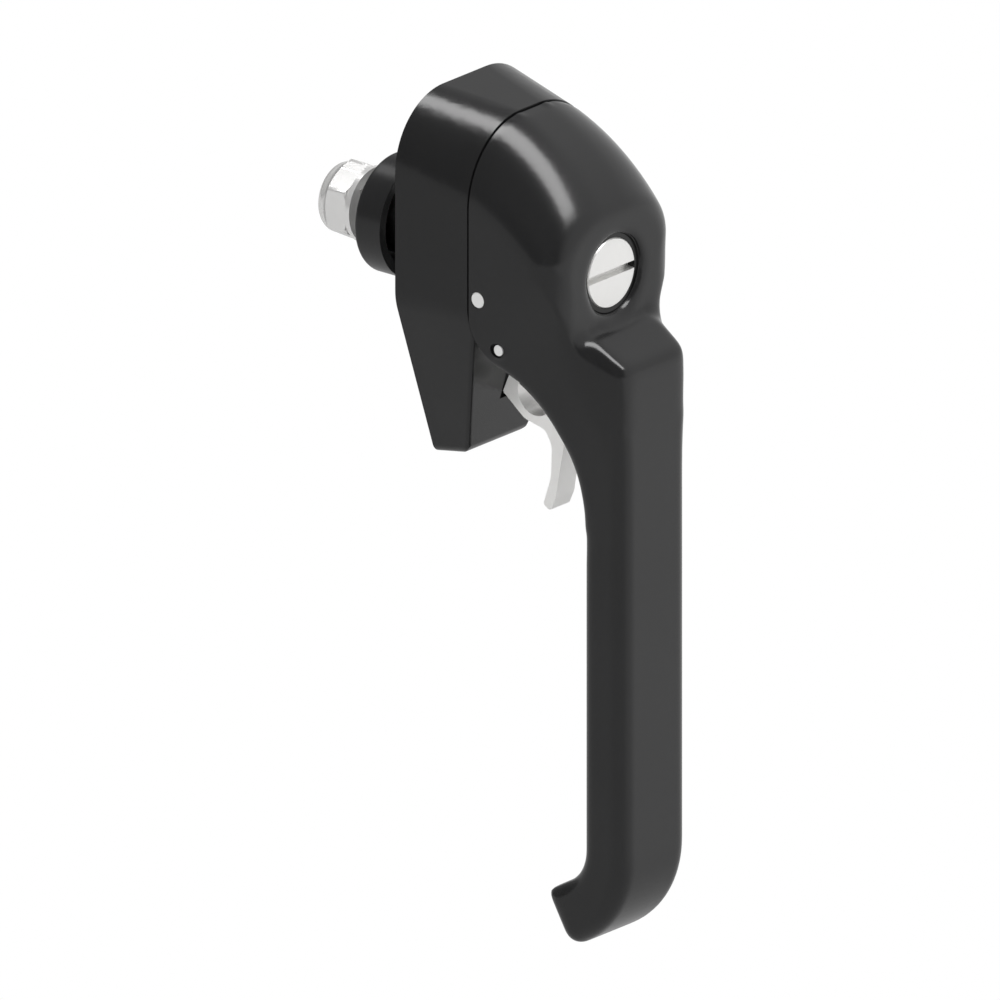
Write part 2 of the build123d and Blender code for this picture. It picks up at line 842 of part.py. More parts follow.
# Lock cam: a sector with a slanted back that pushes the bolt in as the insert turns
half_throw = lock_throw / 2
swash = half_throw / bolt_circle
with BuildPart() as lock_cam:
    with BuildSketch(facing(cam_back)):
        with BuildLine():
            rim = CenterArc((0, 0), cam_outer, cam_first_angle, cam_sweep)
            Line(rim @ 1, (0, 0))
            Line((0, 0), rim @ 0)
        make_face()
    extrude(amount=cam_front - cam_back)
    swash_plane = Plane(origin=(0, -cam_middle, 0), z_dir=(swash, -1, -swash))
    split(bisect_by=swash_plane, keep=Keep.TOP)
    with BuildSketch(facing(cam_front)):
        Circle(cam_hub / 2)
    extrude(amount=cam_hub_back - cam_front)
    with BuildSketch(facing(cam_back)):
        Circle(cam_hub / 2)
    extrude(amount=cam_hub_back - cam_back, mode=Mode.SUBTRACT)
    with BuildSketch(facing(cam_back)):
        Circle(insert_tail / 2)
        Rectangle(insert_tail, tail_flats, mode=Mode.INTERSECT)
    extrude(amount=cam_front, mode=Mode.SUBTRACT)
finish("lock_cam", lock_cam)

# Screw that holds the cam on the insert's tail
with BuildPart() as cam_screw:
    with BuildSketch(facing(screw_head_back)):
        Circle(screw_head / 2)
    extrude(amount=cam_hub_back - screw_head_back)
    with BuildSketch(facing(cam_hub_back)):
        Circle(screw_size / 2)
    extrude(amount=screw_length)
    with BuildSketch(facing(screw_head_back)):
        RegularPolygon(screw_socket / 2, 6)
    extrude(amount=screw_socket_depth, mode=Mode.SUBTRACT)
finish("cam_screw", cam_screw)

# Lock bolt with its head and domed tip
with BuildPart() as lock_bolt:
    with BuildSketch(facing(bolt_back)):
        with Locations((0, bolt_circle)):
            Circle(bolt_size / 2)
    extrude(amount=bolt_head_back - bolt_back)
    with BuildSketch(facing(bolt_head_back)):
        with Locations((0, bolt_circle)):
            Circle(bolt_head / 2)
    extrude(amount=bolt_head_front - bolt_head_back)
    with BuildSketch(facing(bolt_head_front)):
        with Locations((0, bolt_circle)):
            Circle(bolt_tip / 2)
    extrude(amount=bolt_tip_front - bolt_head_front)
    fillet(lock_bolt.edges().filter_by(GeomType.CIRCLE).sort_by(Axis.Y)[0], bolt_tip_round)
    chamfer(lock_bolt.edges().filter_by(GeomType.CIRCLE).sort_by(Axis.Y)[-1], free_gap)
finish("lock_bolt", lock_bolt)

# Return spring of the bolt, at its shortest
with BuildPart() as bolt_spring:
    with BuildLine():
        coil = Helix(
            pitch=bolt_spring_length / bolt_spring_turns,
            height=bolt_spring_length,
            radius=bolt_spring_middle,
            center=(0, -bolt_spring_back, bolt_circle),
            direction=(0, -1, 0),
        )
    with BuildSketch(Plane(origin=coil @ 0, z_dir=coil % 0)):
        Circle(bolt_spring_wire / 2)
    sweep()
finish("bolt_spring", bolt_spring)

# Trigger: one plate with a nose for the base's slot, a padlock hole and a finger tail
with BuildPart() as trigger:
    with BuildSketch(side):
        with BuildLine():
            Polyline(
                (heel_out, -heel_top),
                (heel_out, -heel_bottom),
                (nose_top_out, -nose_top),
                (nose_out, -nose_drop),
                (chin_out, -chin_drop),
                (throat_out, -throat_drop),
                (tail_rear_out, -tail_top),
                (tail_low_out, -tail_low),
                (tail_tip_out, -tail_tip),
                (tail_front_out, -tail_front_low),
                (tail_bend_out, -tail_bend),
                (shank_out, -shank_low),
                (shank_front_out, -shank_middle),
                (shank_front_out, -arm_bottom),
                (arm_out, -arm_bottom),
                (arm_out, -arm_top),
                (pivot_out + trigger_hub, -arm_top),
                (pivot_out, -pivot_drop),
                close=True,
            )
        make_face()
        with Locations((pivot_out, -pivot_drop)):
            Circle(trigger_hub)
    extrude(amount=trigger_width / 2, both=True)
    with BuildSketch(side):
        with Locations((padlock_out, -padlock_drop)):
            Circle(padlock_hole / 2)
        with Locations((pivot_out, -pivot_drop)):
            Circle(pivot_pin / 2 + slide_gap)
    extrude(amount=trigger_width, both=True, mode=Mode.SUBTRACT)
finish("trigger", trigger)

# Return spring of the trigger
with BuildPart() as trigger_spring:
    with BuildLine():
        coil = Helix(
            pitch=trigger_spring_length / trigger_spring_turns,
            height=trigger_spring_length,
            radius=trigger_spring_middle,
            center=(0, -trigger_spring_out, -trigger_spring_top - trigger_spring_length),
            direction=(0, 0, 1),
        )
    with BuildSketch(Plane(origin=coil @ 0, z_dir=coil % 0)):
        Circle(trigger_spring_wire / 2)
    sweep()
finish("trigger_spring", trigger_spring)
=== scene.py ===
import bpy
from math import cos, radians, sin, tan
from mathutils import Matrix, Vector


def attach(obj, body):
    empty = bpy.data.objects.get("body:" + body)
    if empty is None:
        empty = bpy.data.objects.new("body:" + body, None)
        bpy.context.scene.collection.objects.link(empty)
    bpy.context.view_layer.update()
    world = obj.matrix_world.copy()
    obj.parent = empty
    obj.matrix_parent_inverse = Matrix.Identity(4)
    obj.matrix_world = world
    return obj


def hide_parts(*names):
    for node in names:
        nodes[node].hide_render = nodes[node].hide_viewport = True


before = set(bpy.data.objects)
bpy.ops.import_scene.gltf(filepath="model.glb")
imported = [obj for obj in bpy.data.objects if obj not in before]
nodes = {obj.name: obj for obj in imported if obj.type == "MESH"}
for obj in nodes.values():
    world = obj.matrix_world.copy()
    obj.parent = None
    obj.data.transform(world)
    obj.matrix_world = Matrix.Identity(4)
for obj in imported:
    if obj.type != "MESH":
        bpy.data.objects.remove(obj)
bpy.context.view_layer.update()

bpy.ops.object.select_all(action="DESELECT")
scene = bpy.context.scene
scene.view_settings.view_transform = "Standard"

MM = 0.001
MERGE_DISTANCE = 0.002 * MM


# Shader node groups

def new_group(name, inputs, outputs):
    """A shader node group with named float, colour or vector sockets."""
    group = bpy.data.node_groups.new(name, "ShaderNodeTree")
    for label, kind, value in inputs:
        socket = group.interface.new_socket(label, in_out="INPUT", socket_type=kind)
        if value is not None:
            socket.default_value = value
    for label, kind in outputs:
        group.interface.new_socket(label, in_out="OUTPUT", socket_type=kind)
    start = group.nodes.new("NodeGroupInput")
    end = group.nodes.new("NodeGroupOutput")
    return group, start, end


def coat_texture_group():
    """Powder coat: a fine pebbled height and slight changes of shine and tone."""
    group, start, end = new_group(
        "CoatTexture",
        [
            ("Vector", "NodeSocketVector", None),
            ("Pebble scale", "NodeSocketFloat", 1600.0),
            ("Cloud scale", "NodeSocketFloat", 55.0),
            ("Shine", "NodeSocketFloat", 0.3),
            ("Shine change", "NodeSocketFloat", 0.03),
        ],
        [
            ("Height", "NodeSocketFloat"),
            ("Roughness", "NodeSocketFloat"),
            ("Tone", "NodeSocketFloat"),
        ],
    )
    nt, links = group.nodes, group.links
    pebble = nt.new("ShaderNodeTexNoise")
    pebble.inputs["Detail"].default_value = 2.0
    cloud = nt.new("ShaderNodeTexNoise")
    cloud.inputs["Detail"].default_value = 3.0
    links.new(start.outputs["Vector"], pebble.inputs["Vector"])
    links.new(start.outputs["Pebble scale"], pebble.inputs["Scale"])
    links.new(start.outputs["Vector"], cloud.inputs["Vector"])
    links.new(start.outputs["Cloud scale"], cloud.inputs["Scale"])
    centred = nt.new("ShaderNodeMath")
    centred.operation = "SUBTRACT"
    centred.inputs[1].default_value = 0.5
    links.new(cloud.outputs["Fac"], centred.inputs[0])
    spread = nt.new("ShaderNodeMath")
    spread.operation = "MULTIPLY"
    links.new(centred.outputs[0], spread.inputs[0])
    links.new(start.outputs["Shine change"], spread.inputs[1])
    shine = nt.new("ShaderNodeMath")
    shine.operation = "ADD"
    links.new(spread.outputs[0], shine.inputs[0])
    links.new(start.outputs["Shine"], shine.inputs[1])
    links.new(pebble.outputs["Fac"], end.inputs["Height"])
    links.new(shine.outputs[0], end.inputs["Roughness"])
    links.new(cloud.outputs["Fac"], end.inputs["Tone"])
    return group


COAT_TEXTURE = coat_texture_group()


def textured_material(name, scales, shine, tones, relief, steps=(0.3, 0.7)):
    """A material in the coat texture: two tones, a changing shine and a fine relief.

    scales are those of the pebbles and the clouds, shine its middle and its change, relief the
    bump's strength and distance, and steps where the clouds begin and end the change of tone.
    """
    material = bpy.data.materials.new(name)
    material.use_nodes = True
    tree = material.node_tree
    tree.nodes.clear()
    output = tree.nodes.new("ShaderNodeOutputMaterial")
    shader = tree.nodes.new("ShaderNodeBsdfPrincipled")
    tree.links.new(shader.outputs["BSDF"], output.inputs["Surface"])
    coordinates = tree.nodes.new("ShaderNodeTexCoord")
    texture = tree.nodes.new("ShaderNodeGroup")
    texture.node_tree = COAT_TEXTURE
    tree.links.new(coordinates.outputs["Object"], texture.inputs["Vector"])
    texture.inputs["Pebble scale"].default_value = scales[0]
    texture.inputs["Cloud scale"].default_value = scales[1]
    texture.inputs["Shine"].default_value = shine[0]
    texture.inputs["Shine change"].default_value = shine[1]
    ramp = tree.nodes.new("ShaderNodeValToRGB")
    for element, step, tone in zip(ramp.color_ramp.elements, steps, tones):
        element.position = step
        element.color = tuple(tone) + (1,)
    bump = tree.nodes.new("ShaderNodeBump")
    bump.inputs["Strength"].default_value = relief[0]
    bump.inputs["Distance"].default_value = relief[1]
    tree.links.new(texture.outputs["Tone"], ramp.inputs["Fac"])
    tree.links.new(ramp.outputs["Color"], shader.inputs["Base Color"])
    tree.links.new(texture.outputs["Roughness"], shader.inputs["Roughness"])
    tree.links.new(texture.outputs["Height"], bump.inputs["Height"])
    tree.links.new(bump.outputs["Normal"], shader.inputs["Normal"])
    return material, shader


def black_coat(name, dark, light, shine):
    """Satin black powder coat on a die casting."""
    tones = [(grey, grey, grey * 1.03) for grey in (dark, light)]
    material, shader = textured_material(name, (1500.0, 45.0), (shine, 0.04), tones, (0.03, 0.00005))
    shader.inputs["Specular IOR Level"].default_value = 0.45
    return material


def plated_metal(name, colour, shine, metal=1.0):
    """Plated metal with a faint cloudiness in its shine."""
    tones = [[channel * 0.95 for channel in colour], colour]
    material, shader = textured_material(name, (900.0, 120.0), (shine, 0.04), tones, (0.02, 0.00003))
    shader.inputs["Metallic"].default_value = metal
    return material


def plain_stuff(name, colour, shine):
    """Rubber, nylon or plastic with a soft mottle."""
    tones = [[channel * 0.88 for channel in colour], colour]
    material, shader = textured_material(
        name, (1200.0, 80.0), (shine, 0.06), tones, (0.1, 0.00005), steps=(0.0, 1.0)
    )
    return material


handle_coat = black_coat("handle_black_coat", 0.008, 0.010, 0.2)
base_coat = black_coat("base_black_coat", 0.007, 0.009, 0.23)
cup_coat = black_coat("cup_black_coat", 0.009, 0.012, 0.24)
trigger_plate = plated_metal("trigger_bright_plate", (0.86, 0.855, 0.84), 0.3, metal=0.5)
insert_plate = plated_metal("insert_satin_nickel", (0.86, 0.855, 0.84), 0.34, metal=0.8)
nut_plate = plated_metal("nut_bright_plate", (0.86, 0.855, 0.845), 0.2, metal=0.7)
spindle_plate = plated_metal("spindle_steel_plate", (0.6, 0.6, 0.59), 0.35)
# The ring's steel is coloured near black, darker than plain steel, so that the ring and the wall of the
# recess inside it show as a dark line round the insert.
sleeve_dark = plated_metal("sleeve_near_black", (0.05, 0.05, 0.05), 0.3)
pin_plate = plated_metal("pin_steel_end", (0.85, 0.85, 0.84), 0.35, metal=0.5)
spring_wire = plated_metal("spring_wire", (0.45, 0.45, 0.45), 0.3)
gasket_rubber = plain_stuff("gasket_black_rubber", (0.02, 0.02, 0.02), 0.7)
bush_plastic = plain_stuff("bush_acetal", (0.7, 0.69, 0.65), 0.45)
nylon = plain_stuff("nylon_ring", (0.18, 0.3, 0.55), 0.45)

# The finish of each solid that is shown as it is
FINISHES = {
    "guide_cup": cup_coat,
    "lock_insert": insert_plate,
    "cam_washer": nut_plate,
    "spindle": spindle_plate,
    "clip_washer": spindle_plate,
    "drive_plate": spindle_plate,
    "lock_bolt": spindle_plate,
    "lock_cam": nut_plate,
    "cam_screw": nut_plate,
    "spindle_cross_pin": pin_plate,
    "trigger_pivot_pin": pin_plate,
    "retaining_clip": spring_wire,
    "trigger_spring": spring_wire,
    "bolt_spring": spring_wire,
    "base_gasket": gasket_rubber,
    "spindle_seal": gasket_rubber,
    "insert_seal": gasket_rubber,
    "spindle_bush": bush_plastic,
    "thrust_washer": bush_plastic,
    "nut_insert": nylon,
}
for name, material in FINISHES.items():
    node = nodes[name]
    for index in range(len(node.material_slots)):
        node.material_slots[index].material = material


# Helpers for new pieces

# Cutters reach this far to each side, past the part.
WEDGE_HALF = 20
BAR_HALF = 25


def only(piece):
    """Makes one object the selected and active one."""
    bpy.ops.object.select_all(action="DESELECT")
    piece.select_set(True)
    bpy.context.view_layer.objects.active = piece


def edit(piece):
    """Opens a piece in edit mode with all of it selected."""
    only(piece)
    bpy.ops.object.mode_set(mode="EDIT")
    bpy.ops.mesh.select_all(action="SELECT")


def leave():
    """Goes back to object mode."""
    bpy.ops.object.mode_set(mode="OBJECT")


def copy_of(node, name):
    """A merged copy of a solid's mesh, to be refined."""
    piece = bpy.data.objects.new(name, nodes[node].data.copy())
    scene.collection.objects.link(piece)
    edit(piece)
    bpy.ops.mesh.remove_doubles(threshold=MERGE_DISTANCE)
    bpy.ops.mesh.normals_make_consistent(inside=False)
    leave()
    return piece


def apply_modifier(piece, kind, **values):
    """Adds a modifier with these values and applies it."""
    only(piece)
    modifier = piece.modifiers.new(kind.lower(), kind)
    for label, value in values.items():
        setattr(modifier, label, value)
    bpy.ops.object.modifier_apply(modifier=modifier.name)


def at(x, out, z):
    """A point from its place to the right, its distance out from the door and its height."""
    return Vector((x * MM, -out * MM, z * MM))


def round_bar(name, radius, start, end, sides=48):
    """A closed cylinder from one point to another."""
    middle = (start + end) / 2
    bpy.ops.mesh.primitive_cylinder_add(
        vertices=sides, radius=radius * MM, depth=(end - start).length, location=middle
    )
    piece = bpy.context.object
    piece.name = name
    piece.rotation_mode = "QUATERNION"
    piece.rotation_quaternion = (end - start).to_track_quat("Z", "Y")
    bpy.ops.object.transform_apply(location=True, rotation=True, scale=True)
    return piece


def block(name, low, high):
    """A box between two corners."""
    bpy.ops.mesh.primitive_cube_add(size=1, location=(low + high) / 2)
    piece = bpy.context.object
    piece.name = name
    piece.scale = [abs(high[i] - low[i]) for i in range(3)]
    bpy.ops.object.transform_apply(location=True, rotation=True, scale=True)
    return piece


def join(name, pieces):
    """Joins several objects into one."""
    bpy.ops.object.select_all(action="DESELECT")
    for piece in pieces:
        piece.select_set(True)
    bpy.context.view_layer.objects.active = pieces[0]
    bpy.ops.object.join()
    bpy.context.object.name = name
    return bpy.context.object


def cut(piece, cutter, solver="MANIFOLD"):
    """Takes the cutter's volume away from the piece and removes the cutter."""
    apply_modifier(piece, "BOOLEAN", operation="DIFFERENCE", solver=solver, object=cutter)
    bpy.data.objects.remove(cutter)


def corner_cutter(name, corners, centre, radius, sides):
    """A wedge across the part, less the round bar that the corner is to follow.

    corners gives the wedge's section as (distance out, height), at its back or front and at
    its bottom or top.
    """
    wedge = block(name, at(-WEDGE_HALF, 0, 0), at(WEDGE_HALF, 1, 1))
    for vertex in wedge.data.vertices:
        out, z = corners[(int(-vertex.co.y / MM > 0.5), int(vertex.co.z / MM > 0.5))]
        vertex.co.y = -out * MM
        vertex.co.z = z * MM
    edit(wedge)
    bpy.ops.mesh.normals_make_consistent(inside=False)
    leave()
    cut(wedge, round_bar("corner_bar", radius, at(-BAR_HALF, *centre), at(BAR_HALF, *centre), sides))
    return wedge


def soften(piece, angle):
    """Smooth shading up to an angle, with large flat faces kept flat."""
    only(piece)
    bpy.ops.object.shade_smooth_by_angle(angle=radians(angle))
    apply_modifier(piece, "WEIGHTED_NORMAL", keep_sharp=True, weight=100)


def dress(piece, material, body, slot_name, *replaced):
    """Gives a finished piece its one material and body, and hides the nodes that it stands for; its slot
    name is not used.
    """
    piece.data.materials.clear()
    piece.data.materials.append(material)
    for face in piece.data.polygons:
        face.material_index = 0
    if replaced:
        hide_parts(*replaced)
    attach(piece, body)


def fade(value, low, high):
    """0 at or under low, 1 at or over high, and smooth between."""
    t = min(max((value - low) / (high - low), 0.0), 1.0)
    return t * t * (3 - 2 * t)


def band(value, low, high, soft):
    """1 between two limits, fading to 0 over a distance outside them."""
    return fade(value, low - soft, low) * fade(-value, -high - soft, -high)


def smooth_where(piece, zone, rounds):
    """Evens out a mesh where the zone's weight of (side, out, height) in mm isn't 0."""
    group = piece.vertex_groups.new(name=zone.__name__)
    for vertex in piece.data.vertices:
        x, y, z = vertex.co
        weight = zone(abs(x) / MM, -y / MM, z / MM)
        if weight > 0.004:
            group.add([vertex.index], weight, "REPLACE")
    apply_modifier(piece, "SMOOTH", factor=0.5, iterations=rounds, vertex_group=group.name)


# Handle: the casting's solid with its creases blended

HANDLE_BACK = 15.25
HANDLE_FRONT = 44.19
SKIN_CELL = 0.42
NECK_DROP = 1.7
CORNER_TOP = -6.5
CORNER_ROUND = 14.4
CORNER_TURN = radians(64)
CORNER_DEPTH = 26.0
PARTING_GAP = 0.15
# How far the casting's back and the corner's cutter pass the parting plane
SPARE = 2.0

PIVOT = (20.5, -13.5)
CROSS_PIN = (17.4, -4.2)
# Each pin's radius, its place, and where the bar on one side begins and ends
PIN_PLUGS = ((1.55, CROSS_PIN, 14.7, 17.25), (1.45, PIVOT, 3.2, 15.45))
PIN_HOLES = ((1.5, CROSS_PIN, 13.0, 20.0), (1.4, PIVOT, 14.9, 20.0))

# Half the thumb block's width at some heights, as in the solid
BLOCK_FLANK = ((-40.0, 9.06), (-26.0, 9.5), (-16.5, 9.75), (-12.5, 10.2), (-10.5, 11.3), (-8.6, 12.6))


def wall_half(z):
    """Half the thumb block's width at any height."""
    if z <= BLOCK_FLANK[0][0]:
        return BLOCK_FLANK[0][1]
    for (z0, w0), (z1, w1) in zip(BLOCK_FLANK, BLOCK_FLANK[1:]):
        if z <= z1:
            return w0 + (w1 - w0) * (z - z0) / (z1 - z0)
    return BLOCK_FLANK[-1][1]


# Zones that are evened out, each as a weight of the distance to the side, out and the height

def all_over(x, out, z):
    """The whole skin, for the steps that the remesh leaves."""
    return 1.0


def block_edges(x, out, z):
    """The thumb block's edges and the crease above its ramp."""
    return band(z, -24.0, -7.0, 3.0) * fade(out, 31.0, 33.0) * fade(-x, -15.5, -13.5)


def ridge(x, out, z):
    """The ramp's lower end, where the grip begins."""
    return band(z, -17.0, -11.5, 2.0) * fade(out, 38.5, 41.5)


def neck_sides(x, out, z):
    """The hollow beside the thumb block, and the neck's front edges."""
    return band(z, -44.0, -11.0, 5.0) * fade(out, 28.0, 32.0) * fade(x - wall_half(z), 0.6, 2.0)


def ramp_sides(x, out, z):
    """The ramp's side edges, from the head down to the grip."""
    return band(z, -23.0, -9.0, 3.0) * fade(out, 32.5, 34.5) * fade(x, 7.5, 9.5)


def bore_mouth(x, out, z):
    """The mouth of the insert's bore."""
    return fade(out, 31.5, 33.5) * fade(-((x * x + z * z) ** 0.5), -10.2, -8.8)


def neck_end_and_tip(x, out, z):
    """The back of the neck's end, which runs on into the grip, and the hook's blunt tip."""
    neck_end = band(z, -49.0, -43.0, 4.0) * fade(-out, -40.0, -37.0)
    tip = fade(-z, 111.0, 115.0) * fade(-out, -33.0, -29.0)
    return max(neck_end, tip)


def pin_bars(name, bars):
    """Round bars at the pins' places, on both sides of the head."""
    return [
        round_bar(name, radius, at(side * near, *place), at(side * far, *place))
        for side in (-1, 1)
        for radius, place, near, far in bars
    ]


def plugged_casting():
    """The casting's copy with its pin holes filled and its back moved back, to be cut clean later."""
    shell = copy_of("handle_casting", "handle_shell")
    for vertex in shell.data.vertices:
        if abs(-vertex.co.y / MM - HANDLE_BACK) < 0.02:
            vertex.co.y += SPARE * MM
    return join("handle_shell", [shell] + pin_bars("plug", PIN_PLUGS))


def back_corner():
    """What the rounding of the head's lower back corner takes away."""
    centre = (HANDLE_BACK + CORNER_ROUND, CORNER_TOP)
    reach = 2 * CORNER_ROUND
    corners = {
        (0, 1): (HANDLE_BACK - SPARE, CORNER_TOP),
        (0, 0): (HANDLE_BACK - SPARE, CORNER_TOP - CORNER_DEPTH),
        (1, 0): (centre[0] - reach * cos(CORNER_TURN), CORNER_TOP - reach * sin(CORNER_TURN)),
        (1, 1): centre,
    }
    return corner_cutter("back_corner", corners, centre, CORNER_ROUND, 160)


def handle_shell():
    """The whole casting as one skin, with its edges and inner corners rounded as cast."""
    shell = plugged_casting()
    apply_modifier(shell, "REMESH", mode="VOXEL", voxel_size=SKIN_CELL * MM, adaptivity=0.0)
    smooth_where(shell, all_over, 4)
    # The neck lies lower beside the thumb block than the solid's square front.
    for vertex in shell.data.vertices:
        x, out, z = abs(vertex.co.x) / MM, -vertex.co.y / MM, vertex.co.z / MM
        beside = fade(x - wall_half(z), 0.3, 1.6) * band(z, -28.0, -17.0, 4.0) * fade(out, 29.0, 36.0)
        vertex.co.y += NECK_DROP * beside * MM
    smooth_where(shell, block_edges, 52)
    smooth_where(shell, ridge, 20)
    smooth_where(shell, neck_sides, 160)
    smooth_where(shell, ramp_sides, 70)
    smooth_where(shell, bore_mouth, 46)
    smooth_where(shell, neck_end_and_tip, 24)
    # Nothing stands out of the solid's front.
    for vertex in shell.data.vertices:
        vertex.co.y = max(vertex.co.y, -HANDLE_FRONT * MM)
    # The parting plane, the pin holes and the back corner are cut last, with clean edges. The first
    # cutter reaches past the head on all sides.
    cut(shell, block("cutter", at(-30, -5, -60), at(30, HANDLE_BACK + PARTING_GAP, 60)))
    cut(shell, join("holes", [back_corner()] + pin_bars("hole", PIN_HOLES)))
    soften(shell, 40)
    return shell


# Base: its solid with the foot rounded and the bottom drafted

BASE_DEPTH = 15.05
BASE_BOTTOM = 38.7
SLOPE_TOP = (BASE_DEPTH, -13.0)
SLOPE_FOOT = (7.5, -BASE_BOTTOM)
FOOT_ROUND = 4.0
FOOT_LIFT = 0.25
FOOT_REACH = 9.0
DRAFT_START = 26.0
DRAFT_AT_BACK = -0.6
DRAFT = 0.16


def foot_corner():
    """What the rounding between the slope and the bottom takes away."""
    slope = Vector((SLOPE_TOP[0] - SLOPE_FOOT[0], SLOPE_TOP[1] - SLOPE_FOOT[1])).normalized()
    # The rounding's centre lies its radius inside both the slope and the bottom.
    run = (FOOT_ROUND - FOOT_ROUND * slope.x) / slope.y
    centre = (SLOPE_FOOT[0] - run, SLOPE_FOOT[1] + FOOT_ROUND + FOOT_LIFT)
    corners = {
        (0, 0): centre,
        (0, 1): (centre[0], centre[1] - FOOT_REACH),
        (1, 1): (centre[0] + FOOT_REACH, centre[1] - FOOT_REACH),
        (1, 0): (centre[0] + FOOT_REACH * slope.y, centre[1] - FOOT_REACH * slope.x),
    }
    return corner_cutter("foot_corner", corners, centre, FOOT_ROUND, 96)


def base_shell():
    """The base casting with a drafted bottom and a rounded foot."""
    shell = copy_of("base_housing", "base_shell")
    for vertex in shell.data.vertices:
        low = fade(-vertex.co.z / MM, DRAFT_START, BASE_BOTTOM)
        vertex.co.z += low * (DRAFT_AT_BACK + DRAFT * -vertex.co.y / MM) * MM
    cut(shell, foot_corner(), "EXACT")
    # Flat faces are made whole, so that they are shaded flat.
    edit(shell)
    bpy.ops.mesh.remove_doubles(threshold=MERGE_DISTANCE)
    bpy.ops.mesh.dissolve_limited(angle_limit=radians(0.3))
    leave()
    soften(shell, 30)
    return shell


# Trigger: a plate with rounded edges

TRIGGER_HALF = 2.5
TRIGGER_EDGE = 0.45
PADLOCK_HOLE = (18.4, -25.7)
PADLOCK_RADIUS = 4.0
PIVOT_RADIUS = 1.05
CORNER_STEPS = 8
# The trigger's outline as distance out, height and the radius of each corner
TRIGGER_OUTLINE = (
    (17.4, -15.0, 0.6), (17.4, -19.4, 0.8), (13.3, -21.2, 0.6), (10.9, -26.9, 0.5),
    (15.8, -30.8, 3.5), (20.6, -31.9, 2.0), (22.2, -34.4, 4.0), (22.0, -40.5, 9.0),
    (20.2, -45.9, 0.9), (21.9, -47.0, 0.9), (23.2, -44.0, 4.0), (24.1, -38.7, 7.0),
    (25.2, -33.0, 6.0), (26.1, -24.0, 3.0), (26.1, -16.2, 0.6), (29.3, -16.2, 0.5),
    (29.3, -14.0, 0.5), (23.9, -14.0, 1.0), (23.1, -11.3, 2.0), (20.5, -10.1, 2.0),
    (17.9, -11.3, 2.0),
)


def rounded_corner(before, here, after):
    """The points of a curve that takes the place of a corner."""
    corner = Vector(here[:2])
    to_before = Vector(before[:2]) - corner
    to_after = Vector(after[:2]) - corner
    half_angle = to_before.angle(to_after) / 2
    reach = min(here[2] / tan(half_angle), 0.48 * to_before.length, 0.48 * to_after.length)
    first = corner + to_before.normalized() * reach
    last = corner + to_after.normalized() * reach
    points = []
    for step in range(CORNER_STEPS + 1):
        t = step / CORNER_STEPS
        points.append(first * (1 - t) ** 2 + corner * 2 * t * (1 - t) + last * t * t)
    return points


def trigger_plate_piece():
    """The trigger: a plate cut to its outline, with its hole and rounded edges."""
    points = []
    following = TRIGGER_OUTLINE[1:] + TRIGGER_OUTLINE[:1]
    for i, corner in enumerate(TRIGGER_OUTLINE):
        points += rounded_corner(TRIGGER_OUTLINE[i - 1], corner, following[i])
    bpy.ops.mesh.primitive_circle_add(vertices=len(points), radius=1, fill_type="NGON")
    plate = bpy.context.object
    plate.name = "trigger_plate"
    for vertex, point in zip(plate.data.vertices, points):
        vertex.co = at(-TRIGGER_HALF, point.x, point.y)
    apply_modifier(plate, "SOLIDIFY", thickness=2 * TRIGGER_HALF * MM, offset=1.0)
    low = min(v.co.x for v in plate.data.vertices)
    for vertex in plate.data.vertices:
        vertex.co.x -= low + TRIGGER_HALF * MM
    edit(plate)
    bpy.ops.mesh.normals_make_consistent(inside=False)
    leave()
    cut(plate, round_bar("padlock_hole", PADLOCK_RADIUS, at(-5, *PADLOCK_HOLE), at(5, *PADLOCK_HOLE), 96))
    cut(plate, round_bar("pivot_hole", PIVOT_RADIUS, at(-5, *PIVOT), at(5, *PIVOT), 48))
    apply_modifier(
        plate, "BEVEL", width=TRIGGER_EDGE * MM, segments=3, limit_method="ANGLE", angle_limit=radians(60)
    )
    soften(plate, 35)
    return plate


# Sleeve ring and lock nut

SLEEVE_BACK = 24.15
SLEEVE_FRONT = 33.75
SLEEVE_RADIUS = 7.27
SLEEVE_BORE = 5.05
SLEEVE_EDGE = 0.12
RECESS_FLOOR = 30.85
RECESS_RADIUS = 6.5
RING_CUT_BACK = 20
RING_CUT_FRONT = 40
RING_SIDES = 128
NUT_TURN = 14


def sleeve_piece():
    """The thin ring round the lock insert, sunk below the casting's front."""
    ring = round_bar("insert_ring", SLEEVE_RADIUS, at(0, SLEEVE_BACK, 0), at(0, SLEEVE_FRONT, 0), RING_SIDES)
    open_end = at(0, RING_CUT_FRONT, 0)
    cut(ring, round_bar("ring_bore", SLEEVE_BORE, at(0, RING_CUT_BACK, 0), open_end, RING_SIDES))
    cut(ring, round_bar("ring_recess", RECESS_RADIUS, at(0, RECESS_FLOOR, 0), open_end, RING_SIDES))
    apply_modifier(
        ring, "BEVEL", width=SLEEVE_EDGE * MM, segments=2, limit_method="ANGLE", angle_limit=radians(50)
    )
    soften(ring, 35)
    return ring


def nut_piece():
    """The lock nut, turned a little further on its thread than in the solid."""
    nut = copy_of("lock_nut", "turned_nut")
    nut.data.transform(Matrix.Rotation(radians(-NUT_TURN), 4, "Y"))
    soften(nut, 25)
    return nut


trigger = trigger_plate_piece()
dress(trigger, trigger_plate, "trigger", "trigger_plate", "trigger")

ring = sleeve_piece()
dress(ring, sleeve_dark, "handle", "sleeve_dark", "insert_sleeve")

nut = nut_piece()
dress(nut, nut_plate, "handle", "nut_plate", "lock_nut")

base = base_shell()
dress(base, base_coat, "base", "base_coat", "base_housing")

handle = handle_shell()
dress(handle, handle_coat, "handle", "handle_coat", "handle_casting")


# Studio: a pale floor, a white surround and soft boxes

FLOOR_HEIGHT = -0.32
FLOOR_SIZE = 12.0
# The lamps aim at the middle of the head.
LAMP_TARGET = Vector((0, -0.02, -0.02))


